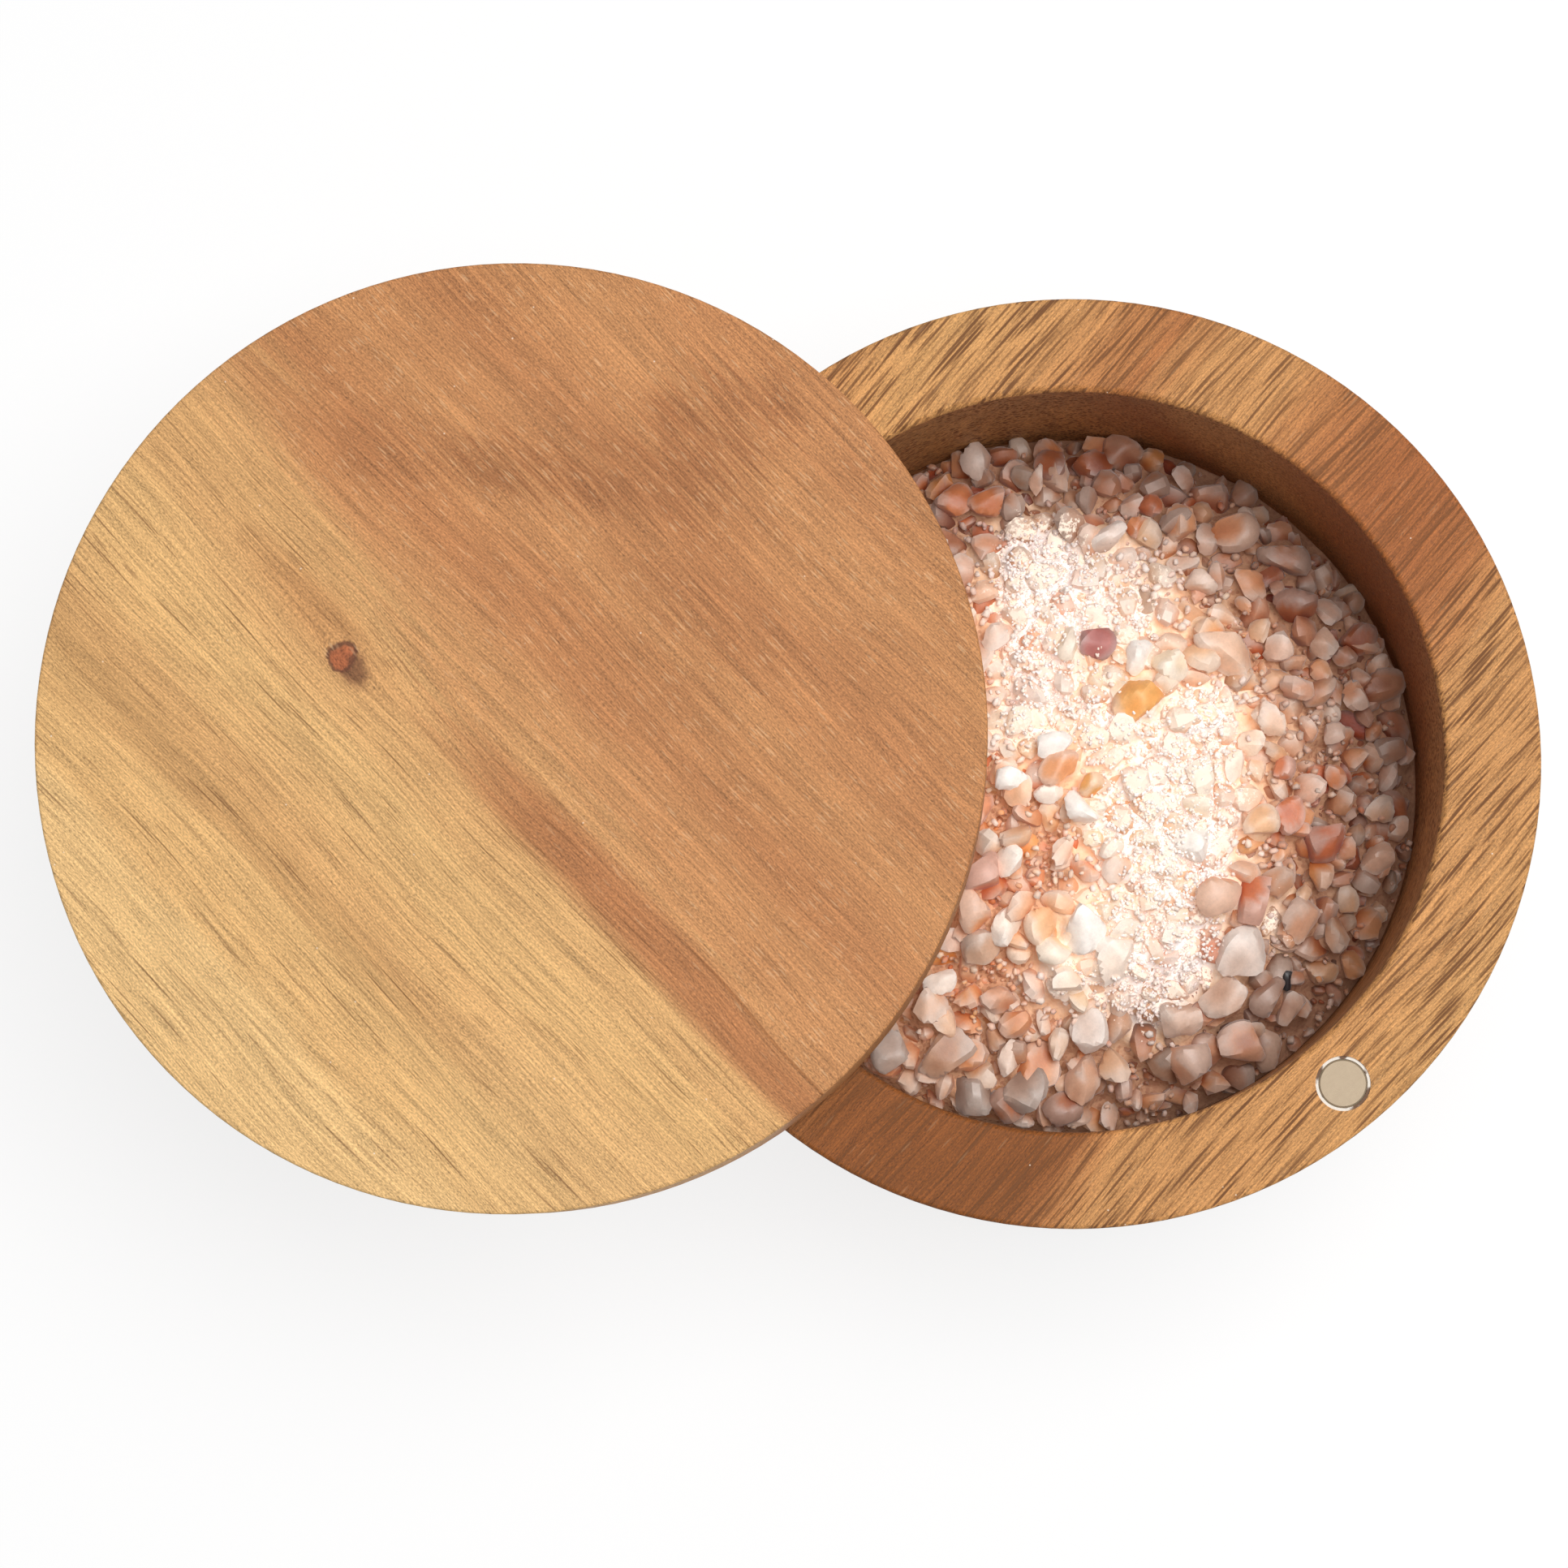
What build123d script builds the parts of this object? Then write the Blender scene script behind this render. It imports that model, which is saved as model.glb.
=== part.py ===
from build123d import *
from math import sqrt
import os

# Round wooden salt box. A turned tub holds the salt, and a flat lid of the same diameter
# swings aside on an upright pin in the rim. Two disc magnets, one let into the rim across
# from the pin and one into the lid, pull the lid shut.
#
# Millimetres, +Z up. The origin is the centre of the underside, the pin is on the +Y side
# of the rim and the magnets are on its -Y side.

os.makedirs("parts", exist_ok=True)

# Tub and lid, turned to one outer diameter
outer_diameter = 96.0
tub_height = 50.0
wall_thickness = 9.8
floor_thickness = 10.0
base_edge_round = 1.2
cavity_corner_round = 4.0
rim_outer_round = 0.5
rim_inner_round = 0.7
lid_thickness = 12.0
lid_edge_round = 0.35
lid_open_angle = 82.0  # degrees that the lid is swung open, clockwise from above

# Pivot
pin_diameter = 4.0
pin_depth = 22.0  # length of pin that is pressed into the wall
pin_chamfer = 0.4
pin_end_clearance = 0.6
running_clearance = 0.05
bush_wall = 1.5
bush_length = 9.0
bush_edge_chamfer = 0.3
groove_depth = 0.4
groove_height = 1.2
groove_below_top = 1.8
rib_end_play = 0.1
washer_diameter = 8.4
washer_thickness = 0.4  # the running gap between the rim and the lid

# Magnet catch
magnet_diameter = 5.0
magnet_thickness = 3.0
magnet_bevel = 0.2
magnet_recess = 0.1
glue_gap = 0.3
glue_film = 0.1
glue_recess = 0.15

# Salt in the tub
salt_depth_at_wall = 15.0
salt_crown = 9.0  # extra height at the middle of the heap
stone_bed = 0.8  # depth of a stone under the heap's surface
stone_rise = 0.6  # height of a stone above that surface, against its width
stone_taper = 20.0  # degrees that a stone's sides slope in
stone_lean = 10.0  # degrees that a stone is tipped along its length
stone_wall_gap = 0.3

# The largest stones of the heap. Each row is the distance out from the middle, as a share of
# the way that the stones reach, the heading there from +X, and the stone's length, width and
# the turn of its length from +X. Headings and turns are anticlockwise, in degrees.
stones = [
    (0.03, 105, 4.0, 3.2, 170),
    (0.32, 6, 5.0, 4.4, 15),
    (0.42, 38, 3.8, 3.4, 20),
    (0.38, 140, 4.6, 4.0, 0),
    (0.50, 195, 4.8, 3.6, 60),
    (0.46, 220, 4.0, 3.2, 50),
    (0.43, 291, 3.8, 3.4, 0),
    (0.57, 244, 5.0, 4.0, 10),
    (0.62, 359, 6.2, 4.0, 100),
    (0.64, 336, 4.0, 2.8, 80),
    (0.62, 90, 4.6, 3.6, 50),
    (0.61, 124, 4.4, 3.8, 140),
    (0.69, 156, 5.0, 3.8, 20),
    (0.75, 40, 3.8, 3.0, 170),
    (0.75, 274, 5.4, 4.6, 10),
    (0.78, 235, 4.6, 3.4, 45),
    (0.81, 306, 5.0, 3.4, 160),
    (0.83, 289, 4.2, 3.6, 10),
    (0.83, 106, 4.6, 3.8, 30),
    (0.87, 26, 4.0, 3.2, 50),
    (0.90, 183, 4.6, 3.8, 70),
    (0.92, 207, 5.4, 4.4, 0),
    (0.93, 72, 4.0, 3.4, 20),
    (0.93, 253, 5.0, 3.8, 50),
    (0.94, 90, 4.4, 3.6, 80),
    (0.96, 6, 5.0, 4.0, 110),
    (0.96, 222, 5.0, 4.2, 30),
    (0.97, 122, 4.8, 4.0, 10),
    (0.97, 165, 4.6, 3.6, 100),
    (0.98, 144, 4.4, 3.6, 60),
    (1.00, 41, 4.4, 3.4, 120),
    (1.00, 337, 5.2, 3.2, 155),
]

# Corners of a stone seen from above, in half lengths and half widths
stone_corners = [(-1.0, -0.3), (-0.4, -1.0), (0.6, -0.85), (1.0, 0.1), (0.45, 1.0), (-0.6, 0.8)]

# Sizes that follow
outer_radius = outer_diameter / 2
cavity_radius = outer_radius - wall_thickness
wall_centre_radius = outer_radius - wall_thickness / 2
cavity_depth = tub_height - floor_thickness
pin_radius = pin_diameter / 2
pin_reach = bush_length - pin_end_clearance
pin_length = pin_depth + washer_thickness + pin_reach
bush_bore_radius = pin_radius + running_clearance
bush_radius = bush_bore_radius + bush_wall
groove_radius = pin_radius - groove_depth
rib_radius = groove_radius + running_clearance
rib_height = groove_height - 2 * rib_end_play
magnet_radius = magnet_diameter / 2
pocket_radius = magnet_radius + glue_gap
pocket_depth = magnet_recess + magnet_thickness + glue_film
heap_radius = (cavity_radius**2 + salt_crown**2) / (2 * salt_crown)  # of the round top
heap_centre = Vector(0, 0, floor_thickness + salt_depth_at_wall + salt_crown - heap_radius)
longest_stone = max(length for out, heading, length, width, turn in stones)
stone_reach = cavity_radius - stone_wall_gap - longest_stone / 2

# Planes. The lid's plane has its origin on the pin's axis, at the lid's underside, and the
# lid reaches away from the pin along its -Y.
rim_plane = Plane.XY.offset(tub_height)
rim_pivot_plane = Plane((0, wall_centre_radius, tub_height))
rim_catch_plane = Plane((0, -wall_centre_radius, tub_height))
lid_plane = Plane(
    origin=(0, wall_centre_radius, tub_height + washer_thickness),
    x_dir=Vector(1, 0, 0).rotate(Axis.Z, -lid_open_angle),
    z_dir=(0, 0, 1),
)
lid_centre = lid_plane.from_local_coords((0, -wall_centre_radius, 0))
lid_catch = lid_plane.from_local_coords((0, -2 * wall_centre_radius, 0))
lid_centre_plane = Plane(origin=lid_centre, x_dir=lid_plane.x_dir, z_dir=lid_plane.z_dir)
lid_catch_plane = Plane(origin=lid_catch, x_dir=lid_plane.x_dir, z_dir=-lid_plane.z_dir)


# Tub: turned outside, bored from above
with BuildPart() as box_body:
    with BuildSketch(Plane.XY):
        Circle(outer_radius)
    extrude(amount=tub_height)
    fillet(box_body.edges().group_by(Axis.Z)[0], radius=base_edge_round)
    with BuildSketch(rim_plane):
        Circle(cavity_radius)
    extrude(amount=-cavity_depth, mode=Mode.SUBTRACT)
    cavity_floor = box_body.faces().filter_by(Plane.XY).sort_by(Axis.Z)[1]
    fillet(cavity_floor.edges(), radius=cavity_corner_round)
    rim_edges = box_body.faces().sort_by(Axis.Z)[-1].edges().sort_by(SortBy.RADIUS)
    fillet(rim_edges[0], radius=rim_inner_round)
    rim_edges = box_body.faces().sort_by(Axis.Z)[-1].edges().sort_by(SortBy.RADIUS)
    fillet(rim_edges[-1], radius=rim_outer_round)
    with Locations(rim_pivot_plane):
        Hole(pin_radius, depth=pin_depth)
    with Locations(rim_catch_plane):
        Hole(pocket_radius, depth=pocket_depth)
box_body.part.label = "box_body"
export_step(box_body.part, "parts/box_body.step")

# Lid: a flat disc, blind-bored from below for the bush and the magnet, so that its top is whole
with BuildPart() as lid:
    with BuildSketch(lid_centre_plane):
        Circle(outer_radius)
    extrude(amount=lid_thickness)
    fillet(lid.edges().group_by(Axis.Z)[0], radius=lid_edge_round)
    fillet(lid.edges().group_by(Axis.Z)[-1], radius=lid_edge_round)
    with BuildSketch(lid_plane):
        Circle(bush_radius)
    extrude(amount=bush_length, mode=Mode.SUBTRACT)
    with BuildSketch(lid_catch_plane):
        Circle(pocket_radius)
    extrude(amount=-pocket_depth, mode=Mode.SUBTRACT)
lid.part.label = "lid"
export_step(lid.part, "parts/lid.step")

# Pivot pin: pressed into the wall, with a snap groove near its top
with BuildPart() as pivot_pin:
    with BuildSketch(rim_pivot_plane.offset(-pin_depth)):
        Circle(pin_radius)
    extrude(amount=pin_length)
    chamfer(pivot_pin.edges().filter_by(GeomType.CIRCLE), length=pin_chamfer)
    with BuildSketch(lid_plane.offset(pin_reach - groove_below_top)):
        Circle(pin_radius)
        Circle(groove_radius, mode=Mode.SUBTRACT)
    extrude(amount=-groove_height, mode=Mode.SUBTRACT)
pivot_pin.part.label = "pivot_pin"
export_step(pivot_pin.part, "parts/pivot_pin.step")

# Bush: pressed into the lid, turns on the pin; its inner rib sits in the pin's groove
with BuildPart() as pivot_bush:
    with BuildSketch(lid_plane):
        Circle(bush_radius)
        Circle(bush_bore_radius, mode=Mode.SUBTRACT)
    extrude(amount=bush_length)
    bore_mouth = pivot_bush.faces().sort_by(Axis.Z)[0].edges().sort_by(SortBy.RADIUS)[0]
    chamfer(bore_mouth, length=bush_edge_chamfer)
    with BuildSketch(lid_plane.offset(pin_reach - groove_below_top - rib_end_play)):
        Circle(bush_bore_radius)
        Circle(rib_radius, mode=Mode.SUBTRACT)
    extrude(amount=-rib_height)
pivot_bush.part.label = "pivot_bush"
export_step(pivot_bush.part, "parts/pivot_bush.step")

# Washer: carries the lid clear of the rim
with BuildPart() as pivot_washer:
    with BuildSketch(rim_pivot_plane):
        Circle(washer_diameter / 2)
        Circle(bush_bore_radius, mode=Mode.SUBTRACT)
    extrude(amount=washer_thickness)
pivot_washer.part.label = "pivot_washer"
export_step(pivot_washer.part, "parts/pivot_washer.step")

# Magnets and the glue round them, each set just under the face that it is let into
for place, face_plane in (("rim", rim_catch_plane), ("lid", lid_catch_plane)):
    with BuildPart() as magnet:
        with BuildSketch(face_plane.offset(-magnet_recess)):
            Circle(magnet_radius)
        extrude(amount=-magnet_thickness)
        chamfer(magnet.edges().filter_by(GeomType.CIRCLE), length=magnet_bevel)
    magnet.part.label = f"{place}_magnet"
    export_step(magnet.part, f"parts/{place}_magnet.step")

    with BuildPart() as glue:
        with BuildSketch(face_plane.offset(-pocket_depth)):
            Circle(pocket_radius)
        extrude(amount=pocket_depth - glue_recess)
        with BuildSketch(face_plane.offset(glue_film - pocket_depth)):
            Circle(magnet_radius)
        extrude(amount=magnet_thickness + magnet_recess, mode=Mode.SUBTRACT)
    glue.part.label = f"{place}_magnet_glue"
    export_step(glue.part, f"parts/{place}_magnet_glue.step")


def stone_plane(out, heading, turn):
    """Plane on the heap's round top, facing out of it and tipped along the stone's length."""
    distance = out * stone_reach
    outward = Vector(distance, 0, sqrt(heap_radius**2 - distance**2)).rotate(Axis.Z, heading)
    along = Vector(1, 0, 0).rotate(Axis.Z, turn)
    return Plane(heap_centre + outward, x_dir=along, z_dir=outward).rotated((0, stone_lean, 0))


# Salt: fills the tub to below the rim and heaps up to the middle, with the largest stones
# standing out of the heap
with BuildPart() as salt_fill:
    with BuildSketch(Plane.XZ):
        with BuildLine():
            foot = (0, floor_thickness)
            foot_at_wall = (cavity_radius, floor_thickness)
            level_at_wall = (cavity_radius, floor_thickness + salt_depth_at_wall)
            crown = (0, floor_thickness + salt_depth_at_wall + salt_crown)
            Line(foot, foot_at_wall)
            Line(foot_at_wall, level_at_wall)
            TangentArc(crown, level_at_wall, tangent=(1, 0))
            Line(crown, foot)
        make_face()
    revolve(axis=Axis.Z)
    fillet(salt_fill.edges().group_by(Axis.Z)[0], radius=cavity_corner_round)
    for out, heading, length, width, turn in stones:
        corners = [(x * length / 2, y * width / 2) for x, y in stone_corners]
        with BuildSketch(stone_plane(out, heading, turn).offset(-stone_bed)):
            Polygon(*corners, align=None)
        extrude(amount=stone_bed + stone_rise * width, taper=stone_taper)
salt_fill.part.label = "salt_fill"
export_step(salt_fill.part, "parts/salt_fill.step")
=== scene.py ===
import bpy
import math
import numpy as np
from mathutils import Matrix, Vector


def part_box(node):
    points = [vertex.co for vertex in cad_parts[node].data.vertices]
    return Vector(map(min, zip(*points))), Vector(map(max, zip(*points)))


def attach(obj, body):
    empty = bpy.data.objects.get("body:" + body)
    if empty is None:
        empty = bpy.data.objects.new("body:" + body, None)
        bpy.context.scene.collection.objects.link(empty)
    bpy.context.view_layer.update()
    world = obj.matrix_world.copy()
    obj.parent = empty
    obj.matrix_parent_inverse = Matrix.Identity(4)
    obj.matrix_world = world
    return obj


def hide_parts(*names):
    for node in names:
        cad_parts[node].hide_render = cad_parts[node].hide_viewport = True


# Round wooden salt box: a turned tub filled with coarse pink salt, under a flat lid that swings
# aside on a pin in the rim. The frame holds the wood, the pin and the magnets; this script adds
# their finishes and the salt. Metres; sizes named in millimetres are turned to metres by MM.

MM = 0.001

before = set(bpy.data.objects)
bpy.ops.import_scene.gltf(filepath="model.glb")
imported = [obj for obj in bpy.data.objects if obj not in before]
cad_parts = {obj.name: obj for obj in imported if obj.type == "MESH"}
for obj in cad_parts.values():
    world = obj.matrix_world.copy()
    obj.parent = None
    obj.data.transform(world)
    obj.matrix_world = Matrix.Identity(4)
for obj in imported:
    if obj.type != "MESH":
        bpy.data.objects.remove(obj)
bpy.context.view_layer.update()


# -------------------- finishes: the shader toolkit

def operator(operation, flipped=False):
    """What a wire does for one sign of arithmetic; flipped where the wire stands second."""
    def method(self, other):
        return self.maths(operation, *((other, self) if flipped else (self, other)))
    return method


class Wire:
    """One node output. Arithmetic on wires and plain numbers adds the Math nodes for it."""

    def __init__(self, finish, socket):
        self.finish = finish
        self.socket = socket

    def maths(self, operation, *values):
        return self.finish.add("ShaderNodeMath", {"operation": operation}, dict(enumerate(values)))

    __add__ = __radd__ = operator("ADD")
    __sub__ = operator("SUBTRACT")
    __rsub__ = operator("SUBTRACT", True)
    __mul__ = __rmul__ = operator("MULTIPLY")
    __truediv__ = operator("DIVIDE")
    __rtruediv__ = operator("DIVIDE", True)
    __pow__ = operator("POWER")


class Finish:
    """A material or a sky under construction, and the building blocks that all of them share."""

    def __init__(self, name, kind="materials"):
        self.owner = getattr(bpy.data, kind).new(name)
        self.owner.use_nodes = True
        self.tree = self.owner.node_tree
        self.tree.nodes.clear()

    def add(self, kind, settings=None, inputs=None, output=0):
        """Adds a node: its settings first, a ramp's stops among them, then its values and links.

        Returns the wanted output, or nothing for the node that ends a tree.
        """
        node = self.tree.nodes.new(kind)
        for name, value in (settings or {}).items():
            if name == "stops":
                elements = node.color_ramp.elements
                while len(elements) < len(value):
                    elements.new(1.0)
                for element, (place, colour) in zip(elements, value):
                    element.position = place
                    element.color = (*colour, 1.0)
            else:
                setattr(node, name, value)
        for name, value in (inputs or {}).items():
            if isinstance(value, Wire):
                self.tree.links.new(value.socket, node.inputs[name])
            else:
                node.inputs[name].default_value = value
        return Wire(self, node.outputs[output]) if node.outputs else None

    def object_position(self, turn=0.0, centre=(0.0, 0.0, 0.0)):
        """Object coordinates in millimetres, measured from centre along axes turned about +Z."""
        cos, sin = math.cos(turn), math.sin(turn)
        x, y, z = centre
        shift = (-(cos * x + sin * y), sin * x - cos * y, -z)
        place = self.add("ShaderNodeTexCoord", output="Object")
        return self.add("ShaderNodeMapping", {}, {
            "Vector": place, "Location": shift, "Rotation": (0.0, 0.0, -turn), "Scale": (1 / MM,) * 3})

    def parts(self, vector):
        """The three components of a vector."""
        return [self.add("ShaderNodeSeparateXYZ", {}, {0: vector}, n) for n in range(3)]

    def vector(self, x, y, z):
        """A vector of three components."""
        return self.add("ShaderNodeCombineXYZ", {}, {0: x, 1: y, 2: z})

    def stretched(self, place, sizes, start):
        """Place divided by sizes, and moved on by start, so that no two patterns are alike."""
        return self.add("ShaderNodeMapping", {}, {
            "Vector": place, "Location": (start,) * 3, "Scale": tuple(1 / size for size in sizes)})

    def noise(self, place, sizes, detail=2.0, roughness=0.5, start=0.0):
        """Cloudy noise about 0.5 whose blotches are as long, wide and deep as sizes says."""
        return self.add("ShaderNodeTexNoise", {}, {
            "Vector": self.stretched(place, sizes, start), "Scale": 1.0, "Detail": detail,
            "Roughness": roughness})

    def cells(self, place, sizes, start=0.0):
        """Scattered points, one to a cell of these sizes: distance to the nearest, and its chance."""
        distance = self.add("ShaderNodeTexVoronoi", {}, {
            "Vector": self.stretched(place, sizes, start), "Scale": 1.0})
        node = distance.socket.node
        chance = self.parts(Wire(self, node.outputs["Color"]))[0]
        return distance, chance

    def rise(self, value, low, high):
        """0 below low, 1 above high and smooth between them; low may be the larger."""
        return self.add("ShaderNodeMapRange", {"interpolation_type": "SMOOTHSTEP"}, {
            "Value": value, "From Min": low, "From Max": high})

    def blend(self, factor, first, second):
        """From the first colour to the second as factor goes from 0 to 1."""
        first, second = (
            colour if isinstance(colour, Wire) else (*colour, 1.0) for colour in (first, second))
        return self.add("ShaderNodeMix", {"data_type": "RGBA"}, {0: factor, 6: first, 7: second}, 2)

    def scaled(self, colour, factor):
        """The colour made lighter or darker by factor."""
        return self.add("ShaderNodeVectorMath", {"operation": "SCALE"}, {0: colour, "Scale": factor})

    def ramp(self, value, stops):
        """Colours at places along value, from the lowest place to the highest."""
        low = stops[0][0]
        spread = stops[-1][0] - low
        stops = [((place - low) / spread, colour) for place, colour in stops]
        return self.add("ShaderNodeValToRGB", {"stops": stops}, {0: (value - low) / spread})

    def seen_directly(self):
        """1 where the camera, a reflection or a look through glass arrives, 0 for light on its way."""
        seen = self.add("ShaderNodeLightPath", output="Is Camera Ray")
        rays = seen.socket.node.outputs
        for ray in ("Is Glossy Ray", "Is Transmission Ray"):
            seen = seen.maths("MAXIMUM", seen, Wire(self, rays[ray]))
        return seen

    def surface(self, settings, height, relief):
        """Ends the material in one Principled shader; height in 0..1 stands relief metres proud."""
        normal = self.add("ShaderNodeBump", {}, {"Height": height, "Distance": relief})
        shader = self.add("ShaderNodeBsdfPrincipled", {}, {**settings, "Normal": normal})
        self.add("ShaderNodeOutputMaterial", {}, {"Surface": shader})
        return self.owner

    def lifted(self, settings, share):
        """Ends a flat material in a Principled shader, blended by share with white where it is seen."""
        shader = self.add("ShaderNodeBsdfPrincipled", {}, settings)
        white = self.add("ShaderNodeEmission")
        share = self.seen_directly() * share
        both = self.add("ShaderNodeMixShader", {}, {0: share, 1: shader, 2: white})
        self.add("ShaderNodeOutputMaterial", {}, {"Surface": both})
        return self.owner


def linked(name, data):
    """A new object of this data, in the scene."""
    thing = bpy.data.objects.new(name, data)
    bpy.context.scene.collection.objects.link(thing)
    return thing


def dress(node, material):
    """Gives a frame node its finish."""
    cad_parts[node].material_slots[0].material = material


# -------------------- wood

PALE_GOLD = (0.74, 0.47, 0.205)
GOLD = (0.68, 0.405, 0.165)
HONEY = (0.62, 0.345, 0.138)
OLIVE_TAN = (0.55, 0.305, 0.120)
SIENNA = (0.53, 0.248, 0.098)
RUSSET = (0.47, 0.202, 0.078)
COPPER = (0.41, 0.165, 0.062)
RIM_GOLD = (0.60, 0.315, 0.113)
RIM_HONEY = (0.56, 0.268, 0.094)
RIM_TAN = (0.47, 0.195, 0.064)
RIM_RUSSET = (0.41, 0.151, 0.047)
RIM_CHESTNUT = (0.34, 0.112, 0.032)
UMBER = (0.22, 0.070, 0.015)
PORE = (0.15, 0.062, 0.026)
CAVITY_WALL_SHADE = (0.13, 0.050, 0.022)
CHALKED_PORE = (0.80, 0.52, 0.29)
DUST = (0.86, 0.72, 0.58)

# The colours across each board, by growth layer: millimetres across the grain and a colour.
LID_SAP = [
    (-50.0, PALE_GOLD), (-38.0, PALE_GOLD), (-34.0, GOLD), (-30.0, GOLD), (-26.0, OLIVE_TAN),
    (-22.0, HONEY), (-16.0, GOLD), (-12.0, GOLD), (-7.0, HONEY), (8.0, HONEY)]
LID_HEART = [
    (-6.0, SIENNA), (4.0, SIENNA), (10.0, RUSSET), (18.0, SIENNA), (26.0, RUSSET), (36.0, SIENNA),
    (50.0, RUSSET)]
TUB_LAYERS = [
    (-50.0, RIM_GOLD), (-40.0, RIM_HONEY), (-28.0, RIM_HONEY), (-23.0, RIM_RUSSET),
    (-17.0, RIM_CHESTNUT), (-10.0, RIM_CHESTNUT), (-4.0, RIM_RUSSET), (0.0, RIM_TAN),
    (4.0, RIM_HONEY), (12.0, RIM_HONEY), (17.0, RIM_RUSSET), (21.0, RIM_TAN), (26.0, RIM_HONEY),
    (36.0, RIM_GOLD), (44.0, RIM_HONEY), (50.0, RIM_GOLD)]

# Growth layers lean and bend as they go down into a board: t' = t - LEAN z + BEND z^2.
LAYER_LEAN = 0.22
LAYER_BEND = 0.006

# Where the turned side begins to cut the pores across and where it cuts them all: along the grain,
# and down from the board's face. END_PORES of their darkness stays there.
END_GRAIN = (30.0, 44.0)
TURNED_SIDE = (-0.5, -1.5)
END_PORES = 0.4

# Millimetres between flecks of dust and their strength, the oil's refraction and shine, and how
# deep the pores are.
FLECK_ROOM = 2.4
FLECK = 0.7
OIL = 1.42
OIL_SHINE = 0.25
WOOD_RELIEF = 0.05 * MM


def dashes(finish, board, sizes, share, start, thick=0.27):
    """Thin pore dashes: the middles of long narrow cells, in the given share of the cells."""
    distance, chance = finish.cells(board, sizes, start)
    return finish.rise(distance, thick, thick * 0.45) * finish.rise(chance, 1.0 - share, 1.04 - share)


def lid_pores(finish, board, open_pores):
    """Hair-thin dark dashes in loose rows where the wood is open, chalky flecks where it is close."""
    short = dashes(finish, board, (5.0, 0.30, 0.6), 0.85, 23.0, 0.36)
    long = dashes(finish, board, (13.0, 0.34, 0.8), 0.60, 28.0, 0.34)
    gather = finish.rise(finish.noise(board, (34.0, 1.4, 4.0), 2.0, start=37.0), 0.40, 0.62)
    dark = short.maths("MAXIMUM", short * 0.7, long) * (0.25 + gather * 0.75)
    chalk = dashes(finish, board, (2.6, 0.30, 0.7), 0.55, 43.0, 0.34) * (1.0 - open_pores)
    return dark * (0.24 + open_pores * 0.40), chalk * 0.30


def tub_pores(finish, board, open_pores):
    """Long bold dashes, close together, and hardly a chalky fleck."""
    short = dashes(finish, board, (5.0, 0.32, 0.6), 0.85, 23.0, 0.42)
    middling = dashes(finish, board, (9.0, 0.42, 0.8), 0.92, 28.0, 0.45)
    long = dashes(finish, board, (15.0, 0.50, 0.9), 0.75, 33.0, 0.42)
    gather = finish.rise(finish.noise(board, (30.0, 2.2, 5.0), 2.0, start=37.0), 0.32, 0.54)
    pores = short.maths("MAXIMUM", short * 0.75, middling)
    dark = pores.maths("MAXIMUM", pores, long) * (0.45 + gather * 0.55)
    chalk = dashes(finish, board, (3.4, 0.36, 0.8), 0.20, 43.0, 0.34)
    return dark * (0.72 + open_pores * 0.22), chalk * 0.10


def wood(name, heading, centre, part_grain, tone, pores):
    """Oiled hardwood cut from one board.

    The board's s axis runs along the grain, t across it and z up, all in millimetres. part_grain
    bends t where the grain runs round something. tone gives the colour of the growth layers and
    how open their pores are. Long thin noise gives the streaks, pores the dark dashes and the
    chalky flecks, and even noise the sanded fibres. The dashes are fainter where the turned side
    cuts the pores across, and fine dust sits in a few of the hollows.
    """
    finish = Finish(name)
    place = finish.object_position(heading, centre)
    s, t, z = finish.parts(place)
    across = t
    t = part_grain(s, t)
    sway = finish.noise(finish.vector(s, t, z), (60.0, 22.0, 30.0), 2.0) - 0.5
    t = t + sway * 5.0
    board = finish.vector(s, t, z)
    depth = z * LAYER_LEAN - z * z * LAYER_BEND
    comb = finish.noise(board, (34.0, 0.5, 1.6), 2.0, 0.6, start=61.0) - 0.5
    wander = finish.noise(board, (30.0, 3.0, 9.0), 3.0, start=7.0) - 0.5
    colour, open_pores = tone(finish, s, t - depth, z, wander, comb, across)

    broad = finish.noise(board, (48.0, 1.3, 5.0), 3.0, 0.55, start=3.0) - 0.5
    fine = finish.noise(board, (8.0, 0.22, 0.5), 3.0, 0.6, start=11.0) - 0.5
    fibre = finish.noise(board, (0.34, 0.13, 0.16), 2.0, 0.7, start=17.0) - 0.5
    colour = finish.scaled(
        colour, 0.92 + broad * (0.32 + open_pores * 0.22) + comb * 0.45 + fine * 1.20 + fibre * 1.90)

    dark, chalk = pores(finish, board, open_pores)
    ends = finish.rise(s * s, END_GRAIN[0] ** 2, END_GRAIN[1] ** 2) * finish.rise(z, *TURNED_SIDE)
    dark = dark * (1.0 - ends * (1.0 - END_PORES))
    colour = finish.blend(dark, colour, PORE)
    colour = finish.blend(chalk, colour, CHALKED_PORE)

    distance, chance = finish.cells(board, (FLECK_ROOM,) * 3, start=41.0)
    fleck = finish.rise(distance, 0.045, 0.025) * finish.rise(chance, 0.60, 0.62)
    colour = finish.blend(fleck * FLECK, colour, DUST)

    roughness = 0.60 + fibre * 0.25 + dark * 0.2
    height = fine * 0.35 + fibre * 0.45 - dark * 0.7 + 0.5
    return finish.surface(
        {"Base Color": colour, "Roughness": roughness, "IOR": OIL, "Specular IOR Level": OIL_SHINE},
        height, WOOD_RELIEF)


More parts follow.
